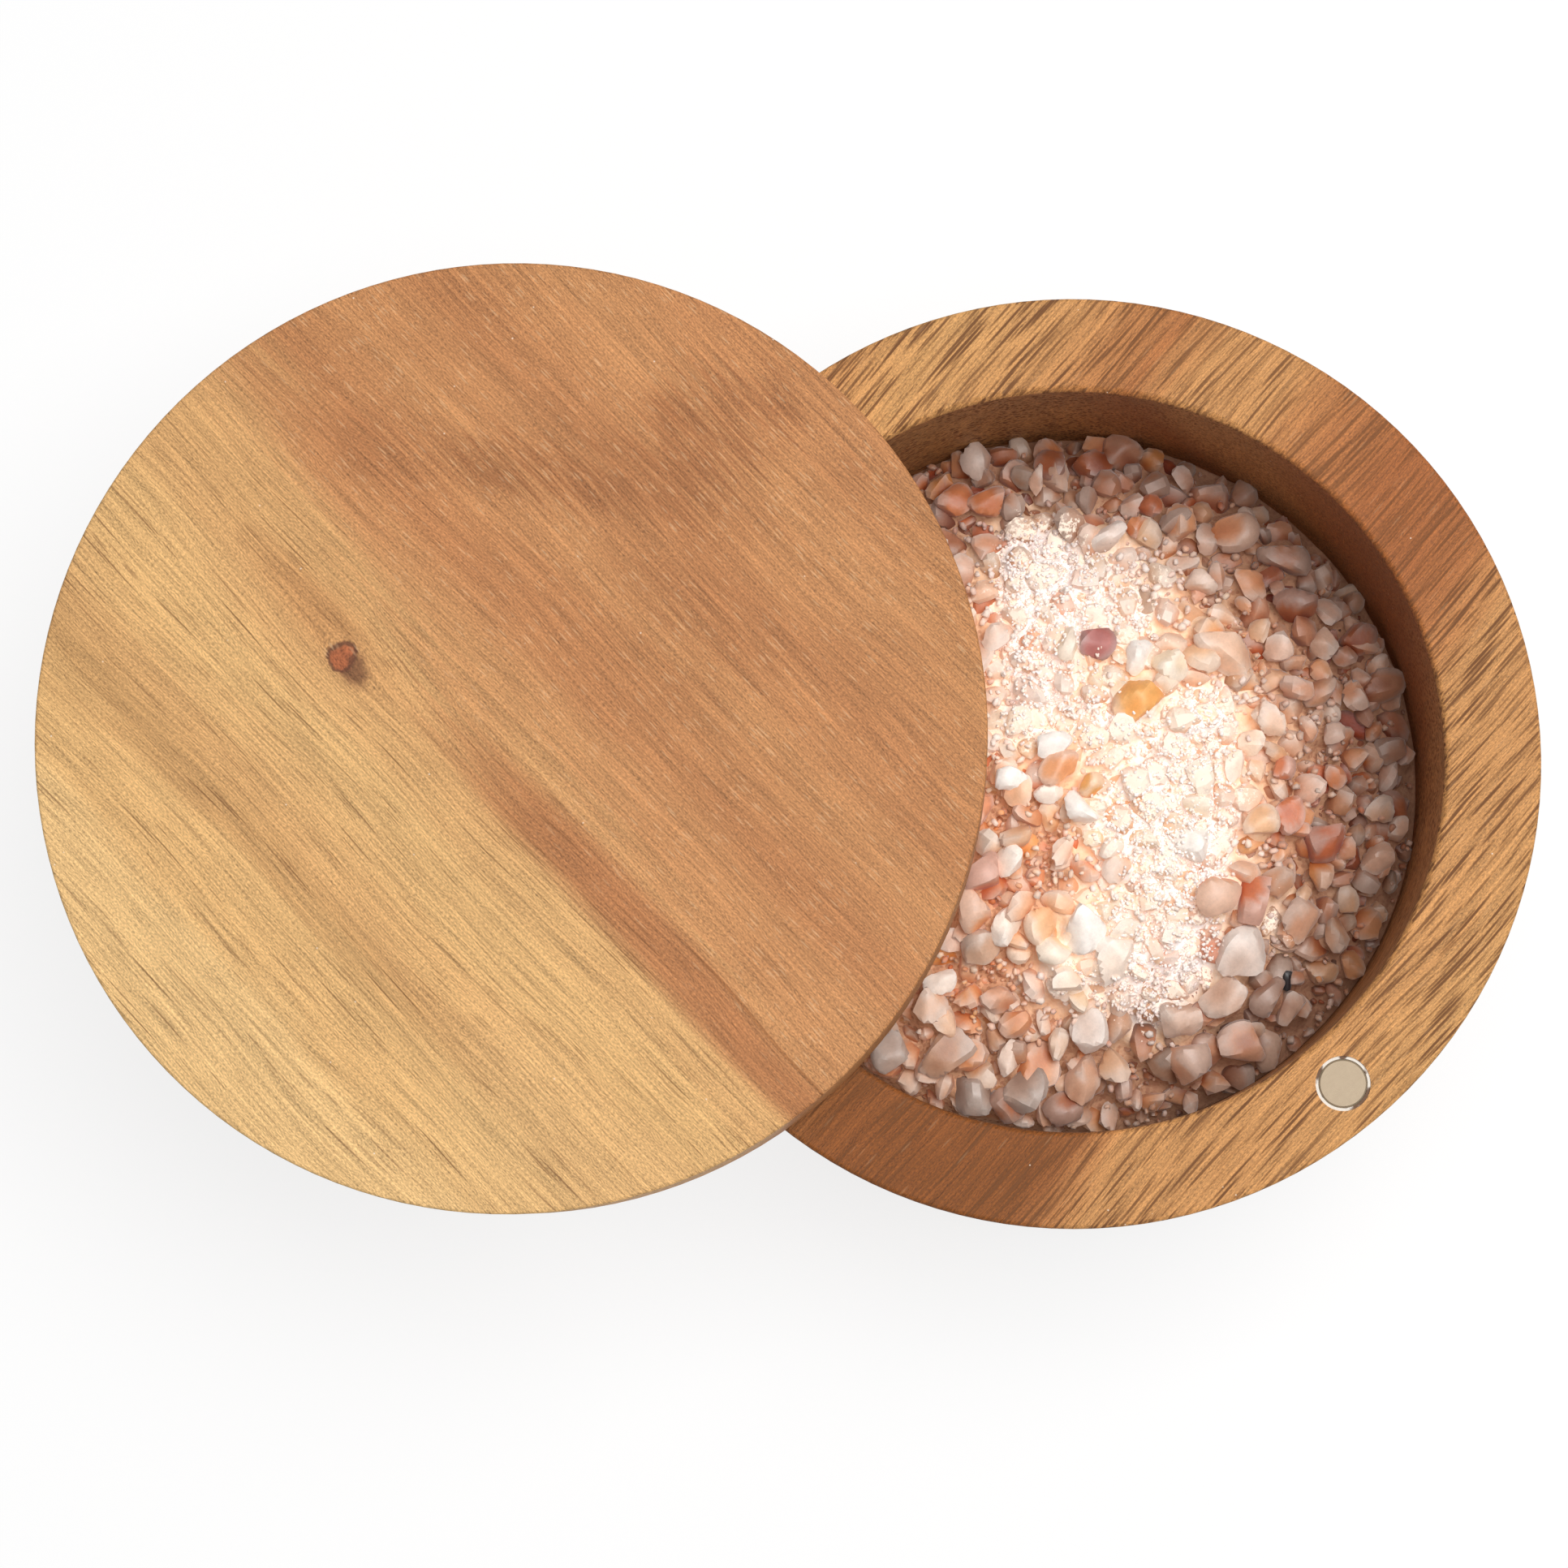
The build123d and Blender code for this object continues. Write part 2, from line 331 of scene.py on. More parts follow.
LID_GRAIN = math.radians(-85.6)
TUB_GRAIN = math.radians(8.7)
lid_low, lid_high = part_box("lid")
tub_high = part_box("box_body")[1]
lid_middle = (lid_low + lid_high) / 2
LID_CENTRE = (lid_middle.x / MM, lid_middle.y / MM, lid_high.z / MM)
TUB_CENTRE = (0.0, 0.0, tub_high.z / MM)
salt_low, salt_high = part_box("salt_fill")
CAVITY = (salt_high.x - salt_low.x) / 2 / MM

KNOT_ALONG, KNOT_ACROSS = -17.4, -6.3
KNOT_LENGTH, KNOT_WIDTH = 1.45, 0.95
KNOT_BARK = (0.13, 0.045, 0.022)
KNOT_CORE = (0.38, 0.115, 0.045)
KNOT_HALO = (0.42, 0.185, 0.066)

# Curly ripples in the lid's red heartwood: along, across, half length, half width, lean, strength.
CURLS = [
    (-28.0, 12.5, 10.0, 4.2, 24.0, 0.50), (-17.5, 19.5, 8.0, 3.8, 30.0, 0.55),
    (-9.5, 27.0, 9.0, 4.6, 44.0, 0.68), (-8.0, 37.5, 10.0, 6.0, 60.0, 0.85),
    (27.0, 32.0, 14.0, 5.5, 8.0, 0.20), (-35.0, 29.0, 7.0, 3.5, 35.0, 0.30),
    (10.0, 43.0, 10.0, 3.4, 10.0, 0.30), (2.0, 14.0, 18.0, 3.4, 6.0, 0.34),
    (4.0, 22.5, 13.0, 4.6, 12.0, 0.50), (-2.0, 31.0, 8.0, 5.5, 20.0, 0.35)]
CURL_BROWN = (0.36, 0.145, 0.054)

# Below the lid's face, where its browner turned side begins and where it is full. The browning
# is partly oil in the end grain, partly painted shade.
LID_SIDE_OIL_AND_SHADE = (-0.3, -1.5)


def knot_range(s, t, stretch=1.0):
    """Distance from the knot's middle: 1 at its edge, more along the grain where stretch is over 1."""
    along = (s - KNOT_ALONG) / (KNOT_LENGTH * stretch)
    across = (t - KNOT_ACROSS) / KNOT_WIDTH
    return (along * along + across * across) ** 0.5


def grain_round_knot(s, t):
    """The grain parts round the knot: t' = t0 + (t - t0)(1 - 0.8 / (0.45 r^2 + 1)), r its range."""
    spread = knot_range(s, t, 1.8)
    squeeze = 1.0 / (spread * spread * 0.45 + 1.0)
    return KNOT_ACROSS + (t - KNOT_ACROSS) * (1.0 - squeeze * 0.8)


def straight_grain(s, t):
    """The grain runs straight, so t stays as it is."""
    return t


def ripple(finish, s, t, along, across, long, wide, lean):
    """1 in the middle of a leaning oval, falling smoothly to 0 at its edge."""
    cos, sin = math.cos(math.radians(lean)), math.sin(math.radians(lean))
    u = ((s - along) * cos + (t - across) * sin) / long
    v = ((t - across) * cos - (s - along) * sin) / wide
    return finish.rise(u * u + v * v, 1.3, 0.15)


def lid_tone(finish, s, t, z, wander, comb, across):
    """Golden sapwood at the front of the lid, red heartwood with curly ripples behind, and the knot.

    A dark streak runs in from one edge along their border. The turned side is browner, partly from
    oil drunk into its end grain and partly as painted shade.
    """
    board = finish.vector(s, t, z)
    waves = finish.noise(board, (38.0, 9.0, 16.0), 2.0, start=81.0) - 0.5
    border = t + s * 0.12 + wander * 10.0 + waves * 12.0 + comb * 7.0
    heart = finish.rise(border, -6.5, 5.5)
    layer = t + wander * 9.0 + waves * 8.0
    sap = finish.ramp(layer, LID_SAP)
    pale_front = finish.rise(s, 12.0, 30.0) * finish.rise(layer, -16.0, -22.0)
    sap = finish.blend(pale_front * 0.45, sap, PALE_GOLD)
    red = finish.ramp(layer, LID_HEART)
    frayed = s + comb * 22.0
    leaning = finish.vector(frayed * 0.8 - t * 0.6, frayed * 0.6 + t * 0.8, z)
    clouds = finish.noise(leaning, (6.0, 17.0, 14.0), 1.0, start=51.0)
    shade = finish.rise(clouds, 0.5, 0.75) * 0.22
    for *oval, strength in CURLS:
        shade = shade + ripple(finish, frayed, t, *oval) * strength
    strands = finish.rise(finish.noise(board, (7.0, 0.36, 0.9), 2.0, 0.6, start=91.0), 0.38, 0.62)
    red = finish.blend(shade * (0.35 + strands * 1.10), red, CURL_BROWN)
    colour = finish.scaled(finish.blend(heart, sap, red), 1.0 + waves * 0.22)
    line = t + 3.4 + s * 0.02
    streak = finish.rise(line * line + comb * 8.0, 9.5, 0.5) * finish.rise(frayed, -14.0, 10.0)
    colour = finish.blend(streak * 0.92, colour, COPPER)
    seam = t + 2.0
    colour = finish.blend(
        finish.rise(seam * seam, 0.03, 0.005) * finish.rise(frayed, 24.0, 30.0) * 0.5, colour, UMBER)
    gnarl = finish.noise(board, (1.1, 0.9, 1.4), 2.0, 0.6, start=71.0) - 0.5
    edge = knot_range(s, t) + gnarl * 0.9
    tail = knot_range(s - 1.7, t, 1.5) + gnarl * 0.8
    halo = knot_range(s + 5.0, t - 1.0, 3.0)
    colour = finish.blend(finish.rise(halo + comb * 2.0, 3.6, 0.6) * 0.55, colour, KNOT_HALO)
    colour = finish.blend(finish.rise(tail, 1.4, 0.4) * 0.8, colour, KNOT_BARK)
    colour = finish.blend(finish.rise(edge, 1.15, 0.92) * 0.9, colour, KNOT_BARK)
    colour = finish.blend(finish.rise(edge, 0.86, 0.58), colour, KNOT_CORE)
    # Browner turned side: partly oil in the end grain, partly painted shade.
    colour = finish.blend(finish.rise(z, *LID_SIDE_OIL_AND_SHADE) * 0.45, colour, SIENNA)
    return colour, (1.0 - heart) * finish.rise(edge, 1.0, 1.6)


def tub_tone(finish, s, t, z, wander, comb, across):
    """Golden wood with close dark dashes on both sides of a red-brown band across the tub."""
    layer = t - s * 0.12 + wander * 5.0 + comb * 2.5
    colour = finish.ramp(layer, TUB_LAYERS)
    ruddy = finish.rise(layer, -27.0, -20.0) * finish.rise(layer, 6.0, -3.0)
    colour = finish.blend(ruddy * finish.rise(s, 12.0, -14.0) * 0.88, colour, UMBER)
    # Painted shade: the cavity's inner wall is blended towards a dark brown.
    out = (s * s + across * across) ** 0.5
    painted_cavity_shade = finish.rise(out, CAVITY + 0.5, CAVITY + 0.1) * finish.rise(z, 0.0, -0.8)
    colour = finish.blend(painted_cavity_shade * 0.30, colour, CAVITY_WALL_SHADE)
    open_pores = finish.rise(layer, -19.0, -26.0) + finish.rise(layer, -4.0, 4.0) * 0.55
    open_pores = open_pores + finish.rise(layer, 16.0, 24.0) * 0.45
    return colour, open_pores


dress("lid", wood("lid_hardwood", LID_GRAIN, LID_CENTRE, grain_round_knot, lid_tone, lid_pores))
dress("box_body", wood("tub_hardwood", TUB_GRAIN, TUB_CENTRE, straight_grain, tub_tone, tub_pores))


# -------------------- metal, plastic and glue

NICKEL_WORN = (0.30, 0.23, 0.15)
NICKEL = (0.37, 0.285, 0.195)
GLUE = (0.80, 0.74, 0.66)
GLUE_DARK_PATCH = (0.16, 0.09, 0.055)
STEEL_GROOVE = (0.50, 0.50, 0.51)
STEEL = (0.62, 0.62, 0.63)
NYLON_CLOUD = (0.74, 0.72, 0.66)
NYLON = (0.84, 0.82, 0.77)


def nickel():
    """Satin nickel plating with a faint even mottle and a few worn scratches."""
    finish = Finish("magnet_nickel_plate")
    place = finish.object_position()
    mottle = finish.noise(place, (0.5, 0.5, 0.5), 4.0, 0.6)
    scratch = finish.noise(place, (2.2, 0.05, 0.4), 2.0, start=5.0)
    colour = finish.blend(mottle, NICKEL_WORN, NICKEL)
    return finish.surface(
        {"Base Color": colour, "Metallic": 0.35, "Roughness": 0.50 + mottle * 0.16}, scratch, 0.01 * MM)


def dried_glue():
    """White glue dried in the gap: chalky, crumbly and dark brown in places."""
    finish = Finish("magnet_dried_glue")
    place = finish.object_position()
    crumbs = finish.noise(place, (0.35, 0.35, 0.35), 4.0, 0.7)
    gap = finish.noise(place, (1.6, 1.6, 1.6), 2.0, start=9.0)
    colour = finish.blend(finish.rise(gap, 0.50, 0.62), GLUE, GLUE_DARK_PATCH)
    return finish.surface({"Base Color": colour, "Roughness": 0.8 + crumbs * 0.15}, crumbs, 0.15 * MM)


def machined(name, sizes, detail, colours, metallic, roughness, uneven, relief):
    """Ground or turned all over: one noise moves the colour, the roughness and the relief."""
    finish = Finish(name)
    marks = finish.noise(finish.object_position(), sizes, detail)
    colour = finish.blend(marks, *colours)
    return finish.surface(
        {"Base Color": colour, "Metallic": metallic, "Roughness": roughness + marks * uneven},
        marks, relief)


def natural_nylon(name):
    """Turned nylon, milky and slightly uneven."""
    return machined(name, (1.5, 1.5, 0.3), 3.0, (NYLON_CLOUD, NYLON), 0.0, 0.42, 0.15, 0.01 * MM)


for magnet in ("rim_magnet", "lid_magnet"):
    dress(magnet, nickel())
    dress(magnet + "_glue", dried_glue())
dress("pivot_pin", machined(
    "pin_ground_steel", (6.0, 6.0, 0.05), 2.0, (STEEL_GROOVE, STEEL), 1.0, 0.25, 0.2, 0.005 * MM))
dress("pivot_bush", natural_nylon("bush_nylon"))
dress("pivot_washer", natural_nylon("washer_nylon"))


# -------------------- salt: where the crystals lie

# Height of the heap at the wall, its rise to the middle, and the radius of the cavity's lower corner.
SALT_AT_WALL = 25.0
CROWN = 9.0
CORNER = 4.0

# The height map's cell, and how far below the heap's even top the pouring starts.
HEAP_CELL = 0.2
HEAP_START = 3.0

# The share of its height by which a crystal raises the heap, and the most half heights that its
# middle may stand over the even top.
RAISING = 0.92
HIGHEST = 9.0
HIGHEST_CHOSEN = 0.5

# A poured crystal's width and height for a length of 1, how far it may tilt either way, and the
# half lengths it keeps from the wall; a chosen stone's height for a width of 1, sinking and tilt.
POURED_WIDTHS = (0.66, 0.92)
POURED_HEIGHTS = (0.50, 0.72)
POURED_TILT = 0.35
WALL_MARGIN = 0.9
CHOSEN_HEIGHT = 0.78
CHOSEN_SINK = 0.62
CHOSEN_TILT = 0.15

# What is poured: how many, the least and greatest length, places tried for each, and how much of
# its half height each sinks into what it lands on. Lengths are in millimetres here.
SMALL_CRYSTALS = (900, (1.2, 2.2), 4, 0.32)
STONES = (70, (3.4, 4.8), 4, 0.40)
CRYSTALS = (760, (2.0, 3.7), 8, 0.36)
CHIPS = (1400, (0.5, 1.1), 6, 0.2)
GRAINS = (4800, (0.26, 0.54), 1, 0.8)

# Drifts of fine salt: x, y, reach and strength of each.
DRIFTS = np.array([
    (12.0, 20.0, 6.5, 0.95), (17.5, 14.0, 6.0, 0.60), (10.0, 14.0, 5.0, 0.75), (22.5, 8.0, 5.5, 0.35),
    (16.0, 7.5, 4.0, 0.60), (5.0, 8.0, 5.5, 0.75), (6.5, 1.0, 6.0, 0.70), (15.0, -4.5, 6.0, 0.85),
    (7.0, -9.5, 6.5, 1.00), (3.5, -15.5, 6.0, 1.00), (-2.0, -22.5, 5.5, 0.90),
    (-9.0, -21.5, 5.0, 0.75), (-8.5, -26.0, 3.5, 0.60), (-14.0, -16.0, 4.5, 0.60),
    (7.5, -26.0, 4.0, 0.55), (24.5, -12.0, 6.0, 0.15), (0.5, -7.0, 5.0, 0.60),
    (-6.0, -14.5, 5.5, 0.65), (12.0, -13.0, 4.5, 0.35), (5.0, 13.0, 4.0, 0.55),
    (-1.0, 7.5, 4.5, 0.60)])

# Places where the red and orange stones gather: x, y, reach and strength.
RED_PATCHES = np.array([
    (11.0, 30.0, 5.0, 0.9), (25.0, 20.0, 5.0, 0.5), (13.0, 10.5, 3.5, 0.5), (2.0, 14.0, 4.0, 0.8),
    (-1.0, 2.0, 5.0, 0.7), (-13.0, -4.0, 5.0, 0.9), (-22.0, -12.0, 5.0, 0.5), (18.0, -19.0, 5.5, 0.9),
    (6.0, -21.5, 4.0, 0.8), (30.0, -1.0, 5.5, 0.6), (29.0, -19.0, 5.0, 0.6), (12.0, 1.5, 3.0, 0.6)])

SNOW = (0.95, 0.88, 0.81)
MILK = (0.93, 0.80, 0.69)
CREAM = (0.90, 0.72, 0.53)
BLUSH = (0.86, 0.60, 0.44)
PEACH = (0.86, 0.53, 0.31)
AMBER = (0.86, 0.44, 0.15)
SALMON = (0.78, 0.36, 0.17)
CORAL = (0.66, 0.22, 0.10)
WINE = (0.44, 0.16, 0.14)
FAWN = (0.60, 0.38, 0.26)
RUST = (0.50, 0.21, 0.10)
SMOKE = (0.56, 0.45, 0.38)
COAL = (0.03, 0.03, 0.04)
POWDER_CREAM = (0.97, 0.82, 0.68)
POWDER_WHITE = (0.985, 0.96, 0.96)
POWDER_SHADE = (0.92, 0.60, 0.34)
CRUMB_PEACH = (0.88, 0.60, 0.39)
CRUMB_PINK = (0.66, 0.35, 0.20)
# The next two colours are painted shade: in deep gaps, and on fine salt by the wall.
GAP_SHADE = (0.38, 0.17, 0.09)
PAINTED_WALL_SHADOW = (0.22, 0.10, 0.06)

# The stones that catch the eye: x, y, length, width, heading of the long way in degrees, colour.
CHOSEN_STONES = [
    (15.2, 33.0, 3.8, 3.3, 60, SNOW), (10.1, 31.0, 4.0, 3.4, 20, SALMON),
    (12.8, 28.4, 4.2, 3.2, -20, SALMON), (24.3, 24.7, 4.2, 2.8, -40, RUST),
    (27.6, 24.0, 4.4, 3.4, -60, FAWN), (18.4, 27.1, 2.9, 1.8, 45, MILK),
    (20.8, 27.4, 3.4, 2.8, 30, RUST), (20.1, 17.0, 3.6, 2.9, -10, SNOW),
    (23.3, 16.3, 2.5, 2.1, 0, SALMON), (27.5, 13.5, 4.0, 3.0, 50, PEACH),
    (31.0, 9.3, 5.0, 3.8, -35, PEACH), (33.5, 3.4, 5.0, 4.0, -70, FAWN),
    (24.6, 7.0, 3.2, 2.7, -40, BLUSH), (31.0, -1.5, 4.8, 3.6, -20, RUST),
    (30.7, -6.3, 3.0, 2.6, 10, MILK), (34.2, -8.3, 3.6, 3.0, 0, RUST),
    (32.4, -13.7, 5.2, 3.0, -25, FAWN), (34.0, -12.0, 2.4, 2.0, 0, MILK),
    (21.8, -0.3, 6.4, 4.0, -80, BLUSH), (20.6, -9.2, 3.9, 2.6, -100, BLUSH),
    (11.5, 9.1, 3.8, 3.4, 20, WINE), (9.0, 10.6, 3.2, 2.6, 30, CREAM),
    (13.9, 4.9, 3.2, 2.8, 40, SNOW), (15.9, 2.2, 3.6, 3.2, -30, CREAM),
    (11.2, 1.2, 5.0, 4.4, 15, AMBER), (0.8, 3.3, 3.5, 2.7, -50, SNOW),
    (-5.0, 3.4, 3.5, 2.7, -60, SNOW), (-2.7, -0.2, 2.7, 2.2, -40, MILK),
    (-1.5, -3.6, 3.8, 3.0, -70, SNOW), (-0.2, 0.9, 4.0, 3.0, -10, SALMON),
    (1.2, -2.4, 2.6, 2.4, 0, AMBER), (-10.8, -3.4, 3.2, 2.8, 10, MILK),
    (-13.4, -2.6, 4.2, 3.8, -10, CORAL), (-16.9, -4.6, 4.9, 3.5, 60, SALMON),
    (-15.1, -8.0, 4.0, 3.4, 30, MILK), (-12.2, -10.4, 4.0, 3.0, 50, PEACH),
    (-9.3, -13.4, 4.6, 4.2, 20, SNOW), (5.4, -14.0, 3.6, 3.4, 0, SNOW),
    (4.3, -19.6, 4.6, 4.0, 20, SALMON), (6.8, -22.6, 4.8, 3.6, 40, CORAL),
    (16.7, -22.9, 5.0, 3.2, -20, CORAL), (15.6, -18.0, 3.6, 3.0, 40, CORAL),
    (12.7, -17.1, 3.4, 3.0, 30, PEACH), (18.3, -14.0, 2.7, 2.2, 30, CORAL),
    (20.6, -27.9, 3.6, 2.7, -20, MILK), (24.3, -27.0, 2.8, 2.2, 30, MILK),
    (9.4, -27.6, 4.2, 3.6, 10, BLUSH), (1.8, -26.3, 5.4, 4.6, 10, SNOW),
    (-1.9, -28.9, 4.6, 4.4, -30, MILK), (1.6, -31.6, 3.8, 3.4, 0, FAWN),
    (4.4, -31.6, 2.0, 1.4, 60, COAL), (-3.6, -34.0, 4.6, 4.0, -30, BLUSH),
    (-9.5, -31.5, 5.0, 3.8, 50, BLUSH), (-7.1, -27.8, 4.4, 4.0, -10, MILK),
    (-15.7, -22.6, 4.6, 3.3, 45, SNOW), (-19.6, -26.0, 5.0, 3.2, 50, BLUSH),
    (-25.1, -22.8, 5.0, 4.2, 30, SMOKE), (-29.1, -19.8, 5.0, 4.0, 55, SMOKE),
    (-28.9, -14.5, 5.4, 4.4, 0, FAWN), (-24.0, -19.1, 3.4, 2.4, 40, MILK),
    (-24.4, -8.2, 3.2, 2.7, 0, MILK), (-27.2, -9.4, 3.8, 3.4, 10, BLUSH),
    (-33.0, -10.5, 4.4, 3.6, 30, SMOKE), (-31.0, -14.8, 3.8, 2.5, -40, BLUSH),
    (-27.0, -22.8, 3.6, 3.2, 0, RUST), (-22.8, -27.0, 4.0, 3.2, -20, RUST),
    (-18.7, -8.5, 4.2, 3.2, -20, FAWN), (-13.3, -13.6, 3.6, 3.2, 0, CREAM),
    (-8.8, -18.2, 5.0, 4.0, 10, MILK), (0.0, 22.0, 4.6, 3.6, 50, BLUSH),
    (0.0, 33.0, 4.4, 3.6, 80, FAWN), (-8.0, 28.0, 4.6, 3.8, 30, PEACH),
    (-18.0, 29.0, 4.8, 4.0, 10, SMOKE), (-12.0, 18.0, 4.4, 3.8, 140, SALMON),
    (-10.5, 8.5, 4.6, 4.0, 0, MILK), (-28.0, 20.0, 4.4, 3.6, 60, FAWN),
    (-22.0, 10.0, 5.0, 3.8, 20, BLUSH), (-33.0, 9.0, 4.6, 3.6, 100, RUST),
    (-31.5, -1.5, 4.6, 3.8, 70, FAWN)]


def smooth_step(value, low, high):
    """0 below low, 1 above high, 3k^2 - 2k^3 between."""
    k = np.clip((value - low) / (high - low), 0.0, 1.0)
    return k * k * (3.0 - 2.0 * k)


def mixed(first, second, share):
    """From the first values to the second as share goes from 0 to 1."""
    return np.asarray(first) * (1.0 - share) + np.asarray(second) * share


def heap_top(x, y):
    """The heap's even top: a spherical cap, SALT_AT_WALL high at the wall and CROWN more inside."""
    ball = (CAVITY ** 2 + CROWN ** 2) / (2.0 * CROWN)
    return SALT_AT_WALL + np.sqrt(ball ** 2 - np.minimum(x * x + y * y, CAVITY ** 2)) - (ball - CROWN)


def gathered(patches, x, y):
    """1 - the product over the patches of (1 - strength e^-(distance / reach)^2)."""
    bare = np.ones_like(x)
    for centre_x, centre_y, reach, strength in patches:
        distance = np.hypot(x - centre_x, y - centre_y)
        bare = bare * (1.0 - strength * np.exp(-(distance / reach) ** 2))
    return 1.0 - bare


class Heap:
    """The salt's height map, one height to a cell, on which crystals come to rest."""

    def __init__(self):
        self.line = np.arange(-CAVITY, CAVITY + HEAP_CELL, HEAP_CELL)
        self.x, self.y = np.meshgrid(self.line, self.line, indexing="ij")
        self.even = heap_top(self.x, self.y)
        self.height = self.even - HEAP_START

    def lay(self, x, y, half, turn):
        """Cells under an ellipsoid of half sizes half at x, y, and how far it bulges over each."""
        long, wide = np.maximum(half[:2], HEAP_CELL * 0.75)
        reach = max(long, wide)
        rows = slice(*np.searchsorted(self.line, (x - reach, x + reach)))
        columns = slice(*np.searchsorted(self.line, (y - reach, y + reach)))
        across_x = self.x[rows, columns] - x
        across_y = self.y[rows, columns] - y
        along = (across_x * math.cos(turn) + across_y * math.sin(turn)) / long
        aside = (across_y * math.cos(turn) - across_x * math.sin(turn)) / wide
        bulge = half[2] * np.sqrt(np.maximum(1.0 - along ** 2 - aside ** 2, 0.0))
        return rows, columns, bulge

    def settle(self, places, half, turn, sink, highest=HIGHEST):
        """Rests a crystal in the lowest of its places, sunk a share of its half height, and adds it.

        Its middle is at most highest half heights above the heap's even top.
        """
        best = None
        for x, y in places:
            rows, columns, bulge = self.lay(x, y, half, turn)
            under = bulge > 0.0
            z = (self.height[rows, columns] + bulge)[under].max() - sink * half[2]
            depth = z - heap_top(x, y)
            if best is None or depth < best[0]:
                best = (depth, x, y, z, rows, columns, bulge)
        depth, x, y, z, rows, columns, bulge = best
        z = min(z, heap_top(x, y) + highest * half[2])
        raised = np.where(bulge > 0.0, z + bulge * RAISING, -1.0)
        self.height[rows, columns] = np.maximum(self.height[rows, columns], raised)
        return x, y, z


def scatter(chance, count, margin, favour=None):
    """Random places over the cavity, margin in from its wall, fewer where favour is low."""
    places = []
    while len(places) < count:
        distance = (CAVITY - margin) * math.sqrt(chance.random())
        heading = chance.uniform(0.0, 2.0 * math.pi)
        x, y = distance * math.cos(heading), distance * math.sin(heading)
        if favour is None or chance.random() < favour(x, y):
            places.append((x, y))
    return places


def pour(heap, chance, count, sizes, places_each, sink, favour=None):
    """Drops crystals one by one. Rows of x, y, z, three half sizes, heading and two tilts."""
    rows = []
    for length in chance.uniform(*sizes, count):
        shape = np.array([1.0, chance.uniform(*POURED_WIDTHS), chance.uniform(*POURED_HEIGHTS)])
        half = length / 2.0 * shape
        turn = chance.uniform(0.0, math.pi)
        spots = scatter(chance, places_each, half[0] * WALL_MARGIN, favour)
        x, y, z = heap.settle(spots, half, turn, sink)
        rows.append((x, y, z, *half, turn, *chance.uniform(-POURED_TILT, POURED_TILT, 2)))
    return np.array(rows)


def place_chosen(heap, chance):
    """The chosen stones, each on what already lies at its place, but pressed in where that is high."""
    rows = []
    for x, y, length, width, heading, _ in CHOSEN_STONES:
        half = np.array([length, width, min(length, width) * CHOSEN_HEIGHT]) / 2.0
        turn = math.radians(heading)
        x, y, z = heap.settle([(x, y)], half, turn, CHOSEN_SINK, HIGHEST_CHOSEN)
        rows.append((x, y, z, *half, turn, *chance.uniform(-CHOSEN_TILT, CHOSEN_TILT, 2)))
    return np.array(rows)


# -------------------- salt: shapes and colours

def shells(around, rings, count=1):
    """Outward faces of count closed shells: quads between rings of points and a fan at either end.

    A shell's points are those of its rings, around of them to a ring, and then one for either end.
    """
    a = np.arange(around)
    b = (a + 1) % around
    here = around * np.arange(rings - 1)[:, None]
    after = here + around
    base, first, last = around * (rings - 1), around * rings, around * rings + 1
    quads = np.stack([here + a, after + a, after + b, here + b], -1).reshape(-1, 4)
    first_fan = np.stack([np.full(around, first), a, b], -1)
    last_fan = np.stack([base + a, np.full(around, last), base + b], -1)
    starts = (last + 1) * np.arange(count)[:, None, None]
    return [face for part in (quads, first_fan, last_fan)
            for face in (starts + part).reshape(-1, part.shape[1]).tolist()]


def stone_grid(around, rings):
    """Unit directions on rings about the x axis and its two ends."""
    tilt = np.pi * np.arange(1, rings + 1)[:, None] / (rings + 1)
    turn = 2.0 * np.pi * np.arange(around)[None, :] / around
    ring = np.stack(np.broadcast_arrays(
        np.cos(tilt), np.sin(tilt) * np.cos(turn), np.sin(tilt) * np.sin(turn)), -1).reshape(-1, 3)
    return np.vstack([ring, (1.0, 0.0, 0.0), (-1.0, 0.0, 0.0)])


# How a crystal is meshed: points round it and rings of them, the planes that cut it, and a power
# that is higher for crisper edges.
STONE_MESH = ((18, 12), 10, 32.0)
CRYSTAL_MESH = ((10, 6), 9, 26.0)
SMALL_MESH = ((8, 4), 8, 20.0)
GRAIN_MESH = ((5, 2), 8, 8.0)

# In a crystal of radius about 1: how far out the cuts lie, the ball that holds its corners in, and
# the radii between which these grow paler, partly frost from wear and partly painted light. FOOT
# depths lie below the heap's softened surface, where the colour deepens as painted shade.
CUTS = (0.62, 1.0)
BALL = 1.3
SCUFF_GLOW_FROM, SCUFF_GLOW_TO, SCUFF_AND_GLOW = 1.0, 1.20, 0.42
FOOT_FROM, FOOT_TO, PAINTED_FOOT_SHADE = -0.5, 1.3, 1.0
LEAST_DUST = 0.25
CRISP_EDGE = math.radians(32.0)


def crystal_shapes(chance, count, directions, planes, edge):
    """Radius of each crystal along each direction d.

    A block cut by planes at distances h along normals n has radius min(h / d.n). Its edges are
    rounded by taking (sum of (d.n / h)^edge)^(-1 / edge) instead, and a ball of radius BALL joins
    the sum so that no corner runs away.
    """
    normals = chance.normal(size=(count, planes, 3))
    normals /= np.linalg.norm(normals, axis=2, keepdims=True)
    distances = chance.uniform(*CUTS, (count, planes))
    facing = np.einsum("vc,nkc->nvk", directions, normals) / distances[:, None, :]
    total = (np.maximum(facing, 0.0) ** edge).sum(axis=2) + (1.0 / BALL) ** edge
    radius = total ** (-1.0 / edge)
    return radius / radius.mean(axis=1, keepdims=True)


